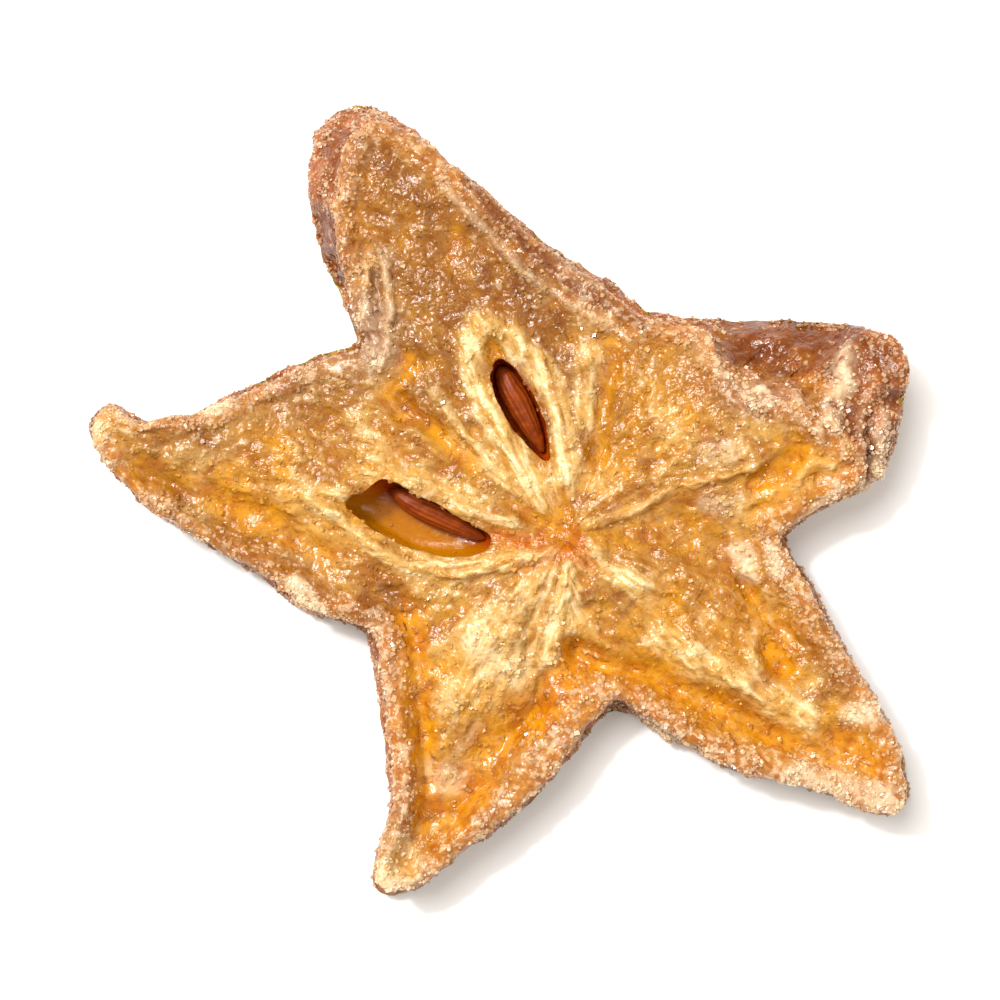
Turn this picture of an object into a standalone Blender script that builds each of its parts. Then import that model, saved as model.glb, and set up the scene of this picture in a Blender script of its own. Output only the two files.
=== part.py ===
"""One dried slice of star fruit, with the two seeds that lie in its open seed cells.

The slice lies on its underside. The origin is on the resting plane, straight under the core where the
five arms meet. +X is to the right and +Y is away from the viewer when the slice is looked down on.
"""

import math

import bmesh
import bpy
from mathutils import Matrix
from mathutils import Vector

MM = 0.001

# The edge of the slice, anticlockwise from the notch on the right, in millimetres from the core.
RIGHT_ARM = (
    (15.2, 0.2), (17.6, 2.2), (20.6, 3.9), (22.2, 6.2), (22.9, 9.8), (22.6, 13.0), (20.4, 14.6),
    (16.4, 15.0), (11.6, 15.1),
)
TOP_ARM = (
    (6.2, 15.7), (3.0, 17.8), (-0.4, 19.8), (-3.6, 22.4), (-7.4, 25.6), (-11.6, 28.9), (-14.6, 30.0),
    (-17.0, 28.2), (-17.6, 24.4), (-17.0, 20.4), (-15.6, 16.8),
)
LEFT_ARM = (
    (-14.6, 13.8), (-17.6, 12.6), (-21.4, 10.8), (-25.8, 9.0), (-29.8, 9.5), (-32.4, 8.4), (-32.3, 6.3),
    (-29.6, 2.9), (-25.0, -0.2), (-21.2, -2.4), (-17.8, -4.9),
)
LOWER_LEFT_ARM = (
    (-14.0, -6.2), (-13.2, -9.4), (-12.6, -13.6), (-12.2, -18.2), (-13.3, -22.6), (-12.6, -24.3),
    (-10.2, -24.0), (-7.6, -21.8), (-3.8, -19.2), (-0.4, -15.8),
)
LOWER_RIGHT_ARM = (
    (3.2, -11.8), (7.0, -13.6), (11.8, -15.9), (17.2, -17.2), (21.2, -18.8), (23.3, -18.4), (23.4, -15.4),
    (21.6, -11.2), (19.0, -7.2), (17.0, -3.2),
)
EDGE_POINTS = RIGHT_ARM + TOP_ARM + LEFT_ARM + LOWER_LEFT_ARM + LOWER_RIGHT_ARM
STEPS_PER_POINT = 3

# Heights above the resting plane, in millimetres.
UNDER_EDGE_HEIGHT = 0.8
UNDER_TURN_HEIGHT = 0.25
RIM_HEIGHT = 5.8
RIM_INNER_HEIGHT = 5.2
TROUGH_HEIGHT = 4.3
FACE_HEIGHT = 4.6
CORE_HEIGHT = 5.0

# Shares of the way from the core to the edge: where the flat underside ends and where it turns up.
CONTACT_SHARE = 0.55
UNDER_TURN_SHARE = 0.82
FACE_SHARES = (0.7, 0.45, 0.2)

# How far the cut face's rim stands in from the edge below it, and how wide the rim is.
RIM_INSET = 0.9
RIM_HALF_WIDTH = 0.8
RIM_INNER_SLOPE = 2.0

# Arms that dried out of flat. Each is (direction in degrees, half width in degrees, millimetres).
SKIN_TURNED_UP = ((34.0, 26.0, 6.2), (124.0, 16.0, 2.4))
EDGE_LIFTED = ((22.0, 30.0, 3.4), (166.0, 14.0, 1.2))
RIM_LIFTED = ((30.0, 28.0, 1.8), (166.0, 12.0, 0.8), (112.0, 30.0, 0.4))
FLESH_SUNK = ((246.0, 30.0, 1.2), (318.0, 22.0, 0.9))

# Seed cells: their mouths in the cut face, and the height of their floors.
UPPER_CELL = (
    (-1.0, 5.2), (-0.9, 7.4), (-2.0, 10.2), (-3.8, 12.6), (-5.0, 13.0), (-5.3, 11.4), (-4.2, 8.2),
    (-2.4, 5.9),
)
LEFT_CELL = (
    (-5.0, 0.2), (-6.6, 1.7), (-9.6, 3.4), (-12.2, 4.4), (-14.2, 3.8), (-15.2, 2.4), (-13.2, 0.5),
    (-9.6, -1.1), (-6.4, -1.0),
)
CELL_FLOOR = 1.2
CELL_CUT_TOP = 9.0
CELL_FLOOR_SHARE = 0.9
CELL_STEPS_PER_POINT = 2

# Seeds: middle, length, width, thickness and the direction of the pointed end.
SEED_SEGMENTS = 20
SEED_RINGS = 12
SEED_POINTEDNESS = 0.35
UPPER_SEED = {"middle": (-3.0, 9.0, 2.5), "size": (6.4, 2.0, 2.3), "point": -63.0}
LEFT_SEED = {"middle": (-9.1, 1.15, 2.45), "size": (7.0, 1.9, 2.2), "point": -27.0}

SHARP_ANGLE = math.radians(50.0)


def clear_scene():
    for thing in list(bpy.data.objects):
        bpy.data.objects.remove(thing, do_unlink=True)


def material(name, colour, roughness):
    """A Principled material of a linear colour, for a piece that is nowhere metal."""
    made = bpy.data.materials.new(name)
    made.use_nodes = True
    shader = made.node_tree.nodes["Principled BSDF"]
    shader.inputs["Base Color"].default_value = (*colour, 1.0)
    shader.inputs["Roughness"].default_value = roughness
    shader.inputs["Metallic"].default_value = 0.0
    made.diffuse_color = (*colour, 1.0)
    return made


def smooth_loop(points, steps):
    """The closed Catmull-Rom curve through the points, read at a number of steps for each point."""
    corners = [Vector(point) for point in points]
    curve = []
    for index, start in enumerate(corners):
        before = corners[index - 1]
        end = corners[(index + 1) % len(corners)]
        after = corners[(index + 2) % len(corners)]
        for step in range(steps):
            t = step / steps
            along = 2.0 * start + (end - before) * t
            along += (2.0 * before - 5.0 * start + 4.0 * end - after) * t**2
            along += (3.0 * start - before - 3.0 * end + after) * t**3
            curve.append(along / 2.0)
    return curve


def swell(point, places):
    """The sum of smooth bumps in direction about the core, each as (degrees, half width, amount)."""
    direction = math.degrees(math.atan2(point.y, point.x))
    total = 0.0
    for middle, half_width, amount in places:
        away = abs((direction - middle + 180.0) % 360.0 - 180.0) / half_width
        if away < 1.0:
            total += amount * (1.0 + math.cos(math.pi * away)) / 2.0
    return total


def moved_in(point, distance):
    """The point, moved towards the core by a distance."""
    return point * (1.0 - distance / point.length)


def ring(points, heights):
    """The points of a ring with their heights."""
    return [Vector((*point, height)) for point, height in zip(points, heights)]


def slice_rings(edge):
    """Rings of points from the flat underside, round the edge and its rim, and in over the cut face."""
    rim = [moved_in(point, RIM_INSET + swell(point, SKIN_TURNED_UP)) for point in edge]
    crest = [moved_in(point, RIM_HALF_WIDTH) for point in rim]
    inner = [moved_in(point, RIM_HALF_WIDTH) for point in crest]
    trough = [moved_in(point, RIM_INNER_SLOPE) for point in inner]
    waist = [(low + high) / 2.0 for low, high in zip(edge, rim)]
    lift = [swell(point, EDGE_LIFTED) for point in edge]
    rise = [swell(point, RIM_LIFTED) for point in edge]
    edge_heights = [UNDER_EDGE_HEIGHT + up for up in lift]
    rim_heights = [RIM_HEIGHT + up for up in rise]
    rings = [
        ring([point * CONTACT_SHARE for point in edge], [0.0] * len(edge)),
        ring([point * UNDER_TURN_SHARE for point in edge], [UNDER_TURN_HEIGHT + up / 3.0 for up in lift]),
        ring(edge, edge_heights),
        ring(waist, [(low + high) / 2.0 for low, high in zip(edge_heights, rim_heights)]),
        ring(rim, [height - RIM_HALF_WIDTH / 2.0 for height in rim_heights]),
        ring(crest, rim_heights),
        ring(inner, [RIM_INNER_HEIGHT + up / 2.0 for up in rise]),
        ring(trough, [TROUGH_HEIGHT - swell(point, FLESH_SUNK) for point in edge]),
    ]
    for share in FACE_SHARES:
        height = CORE_HEIGHT + (FACE_HEIGHT - CORE_HEIGHT) * share
        sunk = [height - share * swell(point, FLESH_SUNK) for point in edge]
        rings.append(ring([point * share for point in trough], sunk))
    return rings


def loft(rings, tip):
    """A closed mesh that joins each ring to the next, flat over the first ring and drawn to a tip."""
    mesh = bmesh.new()
    loops = [[mesh.verts.new(point * MM) for point in points] for points in rings]
    count = len(loops[0])
    for low, high in zip(loops, loops[1:]):
        for i in range(count):
            j = (i + 1) % count
            mesh.faces.new((low[i], low[j], high[j], high[i]))
    mesh.faces.new(loops[0])
    end = mesh.verts.new(tip * MM)
    for i in range(count):
        mesh.faces.new((loops[-1][i], loops[-1][(i + 1) % count], end))
    bmesh.ops.recalc_face_normals(mesh, faces=mesh.faces)
    return mesh


def object_of(mesh, name, finish):
    """A new object in the scene that holds the mesh, shaded smooth between its sharp edges."""
    data = bpy.data.meshes.new(name)
    mesh.to_mesh(data)
    mesh.free()
    data.shade_smooth()
    data.set_sharp_from_angle(angle=SHARP_ANGLE)
    made = bpy.data.objects.new(name, data)
    bpy.context.scene.collection.objects.link(made)
    if finish:
        data.materials.append(finish)
    return made


def cell_cutter(name, mouth):
    """The hollow of a seed cell, narrowing a little from its mouth to its floor. It isn't rendered."""
    mesh = bmesh.new()
    outline = smooth_loop(mouth, CELL_STEPS_PER_POINT)
    middle = sum(outline, Vector((0.0, 0.0))) / len(outline)
    narrowed = [middle + (point - middle) * CELL_FLOOR_SHARE for point in outline]
    floor = mesh.faces.new([mesh.verts.new(Vector((*point, CELL_FLOOR)) * MM) for point in narrowed])
    grown = bmesh.ops.extrude_face_region(mesh, geom=[floor])["geom"]
    for vertex in (part for part in grown if isinstance(part, bmesh.types.BMVert)):
        spread = (vertex.co.to_2d() / MM - middle) / CELL_FLOOR_SHARE + middle
        vertex.co = Vector((*spread, CELL_CUT_TOP)) * MM
    bmesh.ops.recalc_face_normals(mesh, faces=mesh.faces)
    cutter = object_of(mesh, name, None)
    cutter.hide_render = True
    cutter.display_type = "WIRE"
    return cutter


def cut(thing, cutter):
    boolean = thing.modifiers.new(cutter.name, "BOOLEAN")
    boolean.operation = "DIFFERENCE"
    boolean.solver = "EXACT"
    boolean.object = cutter


def fruit_slice():
    """The flesh and skin of the slice, with its two open seed cells cut in."""
    edge = smooth_loop(EDGE_POINTS, STEPS_PER_POINT)
    mesh = loft(slice_rings(edge), Vector((0.0, 0.0, CORE_HEIGHT)))
    made = object_of(mesh, "fruit_slice", material("dried_flesh", (0.58, 0.29, 0.07), 0.42))
    cut(made, cell_cutter("upper_cell", UPPER_CELL))
    cut(made, cell_cutter("left_cell", LEFT_CELL))
    return made


def seed(name, place, finish):
    """A flattened seed, round at one end and drawn out to a point at the other."""
    mesh = bmesh.new()
    bmesh.ops.create_uvsphere(mesh, u_segments=SEED_SEGMENTS, v_segments=SEED_RINGS, radius=0.5)
    bmesh.ops.rotate(mesh, verts=mesh.verts, matrix=Matrix.Rotation(math.pi / 2.0, 3, "Y"))
    length, width, thickness = (side * MM for side in place["size"])
    for vertex in mesh.verts:
        narrowing = 1.0 - SEED_POINTEDNESS * (vertex.co.x + 0.5)
        vertex.co.x *= length
        vertex.co.y *= width * narrowing
        vertex.co.z *= thickness * narrowing
    turn = Matrix.Rotation(math.radians(place["point"]), 3, "Z")
    bmesh.ops.rotate(mesh, verts=mesh.verts, matrix=turn)
    bmesh.ops.translate(mesh, verts=mesh.verts, vec=Vector(place["middle"]) * MM)
    bmesh.ops.recalc_face_normals(mesh, faces=mesh.faces)
    return object_of(mesh, name, finish)


def main():
    clear_scene()
    fruit_slice()
    seed_coat = material("seed_coat", (0.11, 0.035, 0.015), 0.5)
    seed("seed_upper", UPPER_SEED, seed_coat)
    seed("seed_left", LEFT_SEED, seed_coat)


if __name__ == "__main__":
    main()
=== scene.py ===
"""A dried, sugared slice of star fruit: its flesh and skin, the seeds in its open cells and its sugar."""

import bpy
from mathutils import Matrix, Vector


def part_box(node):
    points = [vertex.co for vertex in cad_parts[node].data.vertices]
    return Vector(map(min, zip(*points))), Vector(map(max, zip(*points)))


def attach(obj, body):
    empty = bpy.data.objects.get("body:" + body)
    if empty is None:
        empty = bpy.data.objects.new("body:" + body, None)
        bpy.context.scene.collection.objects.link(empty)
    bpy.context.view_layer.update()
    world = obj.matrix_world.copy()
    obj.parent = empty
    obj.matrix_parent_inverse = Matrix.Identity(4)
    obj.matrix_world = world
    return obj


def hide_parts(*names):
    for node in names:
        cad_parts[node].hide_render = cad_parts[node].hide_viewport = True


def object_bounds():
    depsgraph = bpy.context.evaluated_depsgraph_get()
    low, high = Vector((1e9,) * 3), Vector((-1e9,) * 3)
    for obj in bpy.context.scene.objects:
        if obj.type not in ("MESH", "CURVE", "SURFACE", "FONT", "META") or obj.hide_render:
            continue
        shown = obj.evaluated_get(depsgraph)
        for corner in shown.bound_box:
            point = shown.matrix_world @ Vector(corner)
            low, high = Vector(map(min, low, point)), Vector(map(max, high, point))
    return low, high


bl_info = {
    "name": "Dried star fruit slice",
    "version": (1, 0, 0),
    "blender": (4, 5, 0),
    "location": "3D View > Sidebar > Fruit",
    "description": "Models a dried and sugared slice of star fruit with the seeds in its open cells",
    "category": "Add Mesh",
}

import math

import bpy
import numpy as np
from bpy.props import FloatProperty
from bpy.props import FloatVectorProperty
from bpy.props import IntProperty
from bpy.props import PointerProperty
from mathutils import Vector
from mathutils import kdtree
from mathutils import noise

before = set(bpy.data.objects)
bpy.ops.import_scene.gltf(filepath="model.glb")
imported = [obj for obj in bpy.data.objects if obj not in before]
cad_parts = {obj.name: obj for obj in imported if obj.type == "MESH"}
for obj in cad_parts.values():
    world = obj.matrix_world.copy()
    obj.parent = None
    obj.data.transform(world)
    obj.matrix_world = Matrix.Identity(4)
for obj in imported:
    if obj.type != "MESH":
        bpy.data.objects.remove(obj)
CAD_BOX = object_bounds()

MM = 0.001

# The blank that the slice is carved from: a star-shaped plate with its faces at these heights.
BLANK_TOP = 5.0
SEGMENTS = 700
FACE_RINGS = 80
WALL_RINGS = 22
UNDER_RINGS = 28
# The tool that hollows a seed cell is a sphere of this many segments and rings.
CELL_SEGMENTS = 96
CELL_RINGS = 30

# Directions are in degrees about the core, anticlockwise from +X. An arm is (direction, from, to).
ARMS = (
    (28.0, -5.0, 68.0), (112.0, 68.0, 137.0), (166.0, 137.0, 200.0),
    (243.0, 200.0, 274.0), (319.0, 274.0, 355.0),
)
# The fibres of an arm run together within this many millimetres of the core.
FIBRES_MEET = 5.0
# Share of the length along the fibres that counts in their pattern, so that it is drawn out.
FIBRE_STRETCH = 0.3
# What drying did to the rim and the face, as swells of (direction, half width, mm).
SKIN_TURNED_UP = ((34.0, 27.0, 7.6), (124.0, 16.0, 2.6), (292.0, 16.0, 0.5))
EDGE_LIFTED = ((22.0, 30.0, 3.4), (166.0, 14.0, 1.2))
ARM_LIFTED = ((30.0, 32.0, 2.2), (166.0, 14.0, 1.1), (112.0, 30.0, 0.3))
RIM_RAISED = ((232.0, 14.0, 0.15), (300.0, 24.0, 0.3), (346.0, 16.0, 0.3), (0.0, 12.0, -0.3))
RIM_WIDENED = (
    (266.0, 22.0, 2.6), (222.0, 24.0, 0.9), (88.0, 24.0, 0.9), (318.0, 20.0, 0.4), (176.0, 24.0, -0.7),
    (150.0, 16.0, -0.4),
)
FACE_SUNK = ((246.0, 32.0, 1.1), (318.0, 24.0, 0.6))
# Places that drying drew sideways, as (place, half width, x and y moved).
DRAWN_SIDEWAYS = (
    ((-28.8, 9.5), 1.7, (0.3, -1.3)), ((-26.2, 9.6), 1.4, (0.1, -0.5)), ((-31.4, 9.2), 1.3, (0.0, 0.4)),
)

# Marks on the cut face, as strokes through points in millimetres from the core.
# Each is (points, half width, height, tint, strength of the tint).
FACE_STROKES = (
    # Membranes and lips of the two open seed cells.
    (
        ((-17.5, 3.0), (-13.4, 0.0), (-10.6, -1.8), (-7.2, -2.3), (-4.0, -1.5), (-1.2, -0.8)),
        0.40, 0.55, "cream", 0.9,
    ),
    (((-10.8, -0.9), (-8.2, -1.5), (-5.2, -1.3)), 0.22, 0.25, "cream", 0.7),
    (
        ((-19.5, 3.5), (-15.8, 3.3), (-12.4, 4.9), (-9.6, 3.6), (-6.4, 2.0), (-3.6, 1.2)),
        0.40, 0.30, "cream", 0.5,
    ),
    (
        ((-1.9, 3.2), (-3.4, 5.8), (-5.0, 8.4), (-6.1, 11.0), (-6.5, 13.2), (-5.8, 14.5)),
        0.75, 0.45, "cream", 1.0,
    ),
    (
        ((-5.8, 14.5), (-4.3, 14.0), (-2.2, 12.0), (-0.5, 9.0), (0.0, 5.8), (-0.5, 3.4)),
        0.75, 0.45, "cream", 1.0,
    ),
    (((-5.9, 14.6), (-4.6, 14.1), (-3.2, 13.0)), 0.9, 0.10, "cream", 1.0),
    (((-9.0, 10.2), (-6.6, 6.8), (-3.6, 3.4)), 0.35, 0.25, "cream", 0.4),
    # Walls between the arms, which meet at the core.
    (((1.0, 8.0), (1.2, 10.0), (1.6, 12.8)), 0.75, 0.30, "cream", 0.8),
    (((1.6, 0.9), (4.7, 2.1), (7.2, 3.6), (10.4, 4.5), (12.4, 5.0)), 0.35, 0.45, "cream", 0.4),
    (((0.4, -1.6), (-0.2, -3.4), (-0.4, -5.4), (-1.4, -8.0)), 0.75, 0.50, "cream", 1.0),
    (((-1.0, -2.6), (-2.4, -5.4), (-3.0, -8.6)), 0.45, -0.30, "brown_and_shade", 0.3),
    # Fibrous middles of the arms.
    (((-1.8, -2.8), (-3.6, -6.0), (-5.6, -10.2)), 2.4, 1.20, "cream", 0.45),
    (((-5.4, -6.6), (-4.9, -8.6), (-4.2, -10.8)), 1.3, 0.25, "cream", 1.0),
    (((-6.2, -7.0), (-5.0, -8.4)), 0.8, 0.05, "frost_and_glint", 0.45),
    (((-9.0, -15.6), (-8.0, -16.6)), 0.8, 0.05, "frost_and_glint", 0.45),
    (((2.6, -2.6), (7.5, -5.6), (12.0, -8.8)), 2.8, 0.80, "brown_and_shade", 0.18),
    (((6.6, -6.6), (9.4, -8.3), (12.2, -9.8), (15.9, -11.9)), 0.90, 0.40, "cream", 1.0),
    (((12.6, -6.6), (12.8, -8.6)), 0.55, 0.25, "cream", 0.8),
    (((1.8, -1.2), (4.6, -3.0)), 0.8, 0.20, "cream", 0.9),
    (((-14.4, 8.4), (-13.6, 7.0), (-12.6, 5.8)), 0.6, 0.20, "cream", 0.6),
    # Troughs of clear amber flesh inside the rims.
    (((-10.8, -5.0), (-10.3, -9.0), (-9.9, -14.0), (-9.2, -18.6)), 0.95, -0.4, "amber", 1.0),
    (((-3.6, -11.8), (-5.2, -14.4), (-6.6, -17.2), (-9.0, -19.6)), 1.5, -0.4, "amber", 0.8),
    (((0.6, -7.6), (-0.7, -10.6), (-2.8, -13.0)), 1.1, -0.9, "amber", 1.0),
    (
        ((1.0, -7.8), (4.4, -8.9), (8.4, -10.4), (12.0, -12.0), (15.4, -14.1), (18.2, -15.2)),
        0.9, -0.6, "amber", 0.75,
    ),
    (((13.8, -7.2), (14.4, -8.3)), 0.9, -0.9, "amber", 1.0),
    (((12.0, -2.8), (13.6, -5.2), (15.0, -6.6)), 0.5, -0.5, "amber", 0.7),
    (((18.4, -13.4), (20.8, -14.6)), 1.2, -0.4, "amber", 0.8),
    (((15.5, 6.6), (14.3, 5.0), (12.8, 3.8)), 0.65, -0.5, "amber", 1.0),
    (((14.5, 3.6), (14.0, 1.2)), 0.6, -0.2, "amber", 0.45),
    (((14.4, 0.0), (16.2, 1.7), (18.4, 3.6)), 0.25, 0.2, "frost_and_glint", 0.8),
    (((2.0, 5.5), (2.5, 10.0), (3.1, 13.6)), 0.6, -0.35, "amber", 0.5),
    (((4.6, 1.2), (8.0, 0.8), (11.2, -0.6)), 1.6, -0.45, "amber", 0.35),
    (((3.6, 0.4), (8.0, 0.2), (12.0, -1.2)), 1.8, 0.0, "brown_and_shade", 0.32),
    (((-10.8, 12.0), (-12.0, 10.4), (-11.2, 8.6)), 0.8, -0.35, "amber", 0.7),
    (((-28.4, 5.0), (-24.4, 3.2), (-19.6, 1.2), (-16.8, -1.0)), 0.9, -0.30, "amber", 0.6),
    (((-12.0, -3.6), (-13.4, -4.4)), 0.8, -0.3, "russet_and_shade", 0.7),
    (((-5.3, 13.4), (-4.9, 12.8)), 0.5, -0.1, "amber", 0.7),
    (((-11.2, 9.8), (-8.8, 7.4), (-6.4, 5.2)), 0.6, -0.30, "amber", 0.8),
    (((-11.2, 9.8), (-9.6, 8.2)), 0.5, 0.0, "russet_and_shade", 0.35),
    (((-7.6, 7.4), (-5.0, 4.8), (-2.2, 2.4)), 0.5, 0.15, "cream", 0.8),
    # Painted shadow: the top arm is tinted browner as the shadow of slices lying over it; the edges of the
    # left and right arms are browner, partly in their own colour and partly as painted shade where the arms
    # meet.
    (((-12.0, 26.0), (-10.2, 19.0), (-9.0, 12.0)), 3.6, 0.0, "brown_and_shade", 0.70),
    (((-6.0, 21.0), (-3.0, 15.0), (0.2, 9.0)), 3.4, 0.0, "brown_and_shade", 0.80),
    (((2.4, 15.4), (5.6, 12.4), (9.0, 11.6)), 2.2, 0.0, "brown_and_shade", 0.30),
    (((-27.6, 6.6), (-22.0, 8.8), (-17.6, 10.4), (-13.0, 12.4)), 2.2, 0.0, "brown_and_shade", 0.50),
    (((-4.6, 24.6), (-0.4, 20.4), (3.4, 17.0), (6.6, 15.0)), 1.2, 0.0, "brown_and_shade", 0.50),
    (((14.6, 0.8), (16.8, 2.4), (19.0, 4.0)), 0.9, 0.0, "amber", 0.35),
    (((-30.0, 4.4), (-26.0, 1.8), (-21.0, -1.0), (-15.6, -4.2)), 1.5, 0.0, "brown_and_shade", 0.40),
    (((3.0, -4.6), (8.0, -7.4)), 1.2, 0.0, "brown_and_shade", 0.22),
    (((17.0, -6.0), (21.0, -11.6)), 1.6, 0.0, "brown_and_shade", 0.30),
    (((1.2, -10.6), (-1.6, -14.0), (-5.0, -18.0)), 1.1, 0.0, "amber", 0.40),
    (((-28.0, 4.6), (-26.0, 3.2)), 0.8, -0.2, "russet_and_shade", 0.45),
    (((-23.0, 0.4), (-20.4, -1.0), (-17.8, -2.2)), 0.9, -0.2, "russet_and_shade", 0.35),
    (((-18.8, 1.0), (-17.6, -0.4)), 0.7, -0.1, "russet_and_shade", 0.25),
    # The core and its short rays.
    (((0.1, -0.2), (0.2, -0.4)), 0.9, 0.15, "core", 1.0),
    (((0.0, 0.3), (-0.4, 3.0)), 0.6, -0.2, "amber", 0.6),
    (((-0.2, 0.2), (-2.7, 1.9)), 0.5, -0.2, "amber", 0.7),
    (((-0.4, 0.0), (-4.6, 0.2)), 0.6, -0.15, "core", 0.8),
    (((0.3, -0.4), (1.5, -1.7)), 0.5, -0.15, "core", 0.8),
    (((-0.6, -0.8), (-3.4, -2.0)), 0.5, -0.2, "core", 0.5),
    # Folds of skin that the drying drew in over the rim, with painted shade in the creases between them.
    (((-13.4, 18.4), (-13.8, 15.8), (-13.9, 13.8)), 0.28, 0.60, "frost_and_glint", 0.55),
    (((-12.2, 18.5), (-12.0, 15.0), (-12.5, 12.0)), 0.28, 0.55, "frost_and_glint", 0.50),
    (((-15.6, 20.6), (-14.2, 16.2), (-13.2, 12.8)), 1.3, 0.0, "brown_and_shade", 0.8),
    (((-7.0, 24.4), (-3.2, 20.4), (1.0, 17.0), (5.4, 14.4)), 0.35, -0.35, "russet_and_shade", 0.7),
    (((-8.4, 24.0), (-4.6, 19.8), (-0.4, 16.4), (4.0, 13.8)), 0.30, 0.35, "frost_and_glint", 0.35),
    (((-13.0, 18.8), (-12.9, 15.4), (-12.8, 12.0)), 1.1, 0.0, "frost_and_glint", 0.30),
    (((-12.9, 17.6), (-13.1, 13.6)), 0.45, -0.45, "russet_and_shade", 0.9),
    (((15.0, 3.8), (16.4, 5.2), (18.0, 4.6)), 0.35, 0.30, "cream", 0.5),
    # Patches of white sugar; a few are painted highlights, drawn in the sugar's colour where light glints.
    # Painted highlights: these two bright patches stand for light glinting off the sugar.
    (((-24.2, 8.9), (-23.2, 9.2)), 0.40, 0.10, "frost_and_glint", 1.0),
    (((-18.6, -2.9), (-17.4, -3.8), (-16.4, -4.7)), 0.40, 0.10, "frost_and_glint", 1.0),
    (((-32.0, 7.4), (-31.0, 8.8)), 1.4, 0.15, "cream", 0.7),
    (((-12.6, -23.6), (-11.4, -21.6)), 1.4, 0.20, "cream", 0.9),
    (((-13.0, -23.8), (-11.8, -23.4)), 0.7, 0.10, "frost_and_glint", 0.5),
    (((15.8, -15.9), (18.8, -16.6), (22.4, -17.6)), 0.9, 0.20, "frost_and_glint", 0.5),
    (((19.2, -11.8), (21.2, -11.2)), 0.60, 0.10, "frost_and_glint", 1.0),
    # Painted highlights: these two glints at the rim, drawn as white sugar.
    (((11.8, -0.8), (12.4, -2.2)), 0.6, 0.10, "frost_and_glint", 0.8),
    (((13.6, -0.6), (14.2, -2.0)), 0.4, 0.10, "frost_and_glint", 0.7),
    (((9.4, 13.2), (12.4, 11.2), (15.2, 8.8)), 1.0, 0.05, "frost_and_glint", 0.14),
    (((9.6, 6.0), (10.8, 6.2)), 0.7, 0.05, "frost_and_glint", 0.5),
    (((9.4, 2.5), (11.0, 2.2)), 0.6, 0.05, "frost_and_glint", 0.5),
    (((-5.4, -7.2), (-4.4, -8.4)), 0.8, 0.10, "frost_and_glint", 0.4),
)

# Marks on the skin, which shows from above where it is turned up, in the same form; the dark in its creases
# is partly painted shade, and one white mark is a painted highlight.
SKIN_STROKES = (
    (((12.6, 12.6), (16.0, 12.4), (17.4, 11.4)), 1.7, -0.8, "amber", 0.55),
    (((14.6, 12.4), (17.4, 13.0), (18.4, 12.2)), 0.9, 0.0, "russet_and_shade", 0.8),
    (((12.2, 13.8), (16.0, 14.6), (19.0, 14.8)), 1.4, -0.3, "russet_and_shade", 1.0),
    (((19.3, 12.8), (18.5, 10.2), (17.9, 8.2), (17.8, 6.8)), 0.65, 0.45, "frost_and_glint", 0.50),
    (((16.7, 9.8), (16.9, 7.6)), 0.8, -0.2, "amber", 0.5),
    (((20.0, 13.6), (21.8, 12.8), (22.4, 11.2)), 1.1, 0.60, "cream", 0.7),
    (((21.7, 9.9), (22.3, 9.5)), 0.6, -0.35, "russet_and_shade", 1.0),
    (((20.7, 12.9), (21.2, 12.5)), 0.5, -0.25, "russet_and_shade", 0.8),
    (((21.6, 8.7), (21.5, 6.4), (21.2, 4.4)), 0.30, 0.40, "frost_and_glint", 0.5),
    (((20.9, 8.9), (20.9, 5.6)), 0.26, -0.40, "russet_and_shade", 0.4),
    (((20.3, 8.8), (20.2, 5.4)), 0.28, 0.25, "frost_and_glint", 0.25),
    (((17.0, 6.2), (18.4, 5.4), (20.2, 4.1)), 0.40, 0.30, "frost_and_glint", 0.8),
    (((9.6, 13.4), (12.6, 11.4), (15.6, 9.0), (17.0, 7.2)), 0.9, 0.10, "frost_and_glint", 0.08),
    (((12.4, 12.8), (14.4, 11.0), (17.2, 9.4)), 1.1, 0.0, "russet_and_shade", 0.45),
    (((10.6, 13.4), (13.6, 11.6), (16.4, 9.6)), 1.3, 0.0, "amber", 0.35),
    (((13.4, 10.2), (13.2, 9.5)), 0.35, 0.10, "frost_and_glint", 1.0),
    (((15.4, 10.0), (15.4, 9.3)), 0.35, 0.10, "frost_and_glint", 0.9),
    # Painted highlight: a cluster of glints drawn as white sugar.
    (((19.2, 11.9), (19.5, 10.9)), 0.50, 0.15, "frost_and_glint", 0.9),
    (((-17.4, 21.6), (-15.9, 17.8), (-14.6, 14.6)), 1.3, -0.30, "russet_and_shade", 1.0),
    (((-15.0, 19.2), (-14.3, 18.4)), 0.55, 0.15, "frost_and_glint", 0.6),
    (((6.0, -12.6), (8.0, -13.6), (10.0, -14.8)), 0.6, 0.0, "frost_and_glint", 0.35),
)

# Mouths of the two open seed cells, and, as strokes, the painted shade on the sides of them that lie in
# shadow.
UPPER_CELL = (
    (-1.3, 5.5), (-1.3, 7.4), (-2.1, 9.4), (-3.3, 11.4),
    (-4.6, 12.3), (-5.2, 11.0), (-4.5, 8.9), (-3.0, 6.7),
)
LEFT_CELL = (
    (-5.2, 0.4), (-7.2, 1.6), (-9.4, 2.8), (-12.1, 4.2), (-13.6, 3.4), (-15.0, 2.5), (-13.2, 0.9),
    (-10.4, -0.7), (-7.6, -1.1), (-5.4, -0.7),
)
CELL_SHADES = (
    (((-5.0, 12.0), (-3.4, 9.4), (-1.4, 5.6)), 3.0, 0.0, "russet_and_shade", 1.0),
    (((-12.2, 4.4), (-9.0, 2.8), (-5.0, 0.6)), 1.3, 0.0, "russet_and_shade", 1.0),
)

# Tints that strokes give, and the masks that the materials read.
TINTS = ("cream", "amber", "core", "frost_and_glint", "russet_and_shade", "brown_and_shade")
MASKS = (*TINTS, "rim", "skin", "lining", "cell")


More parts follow.
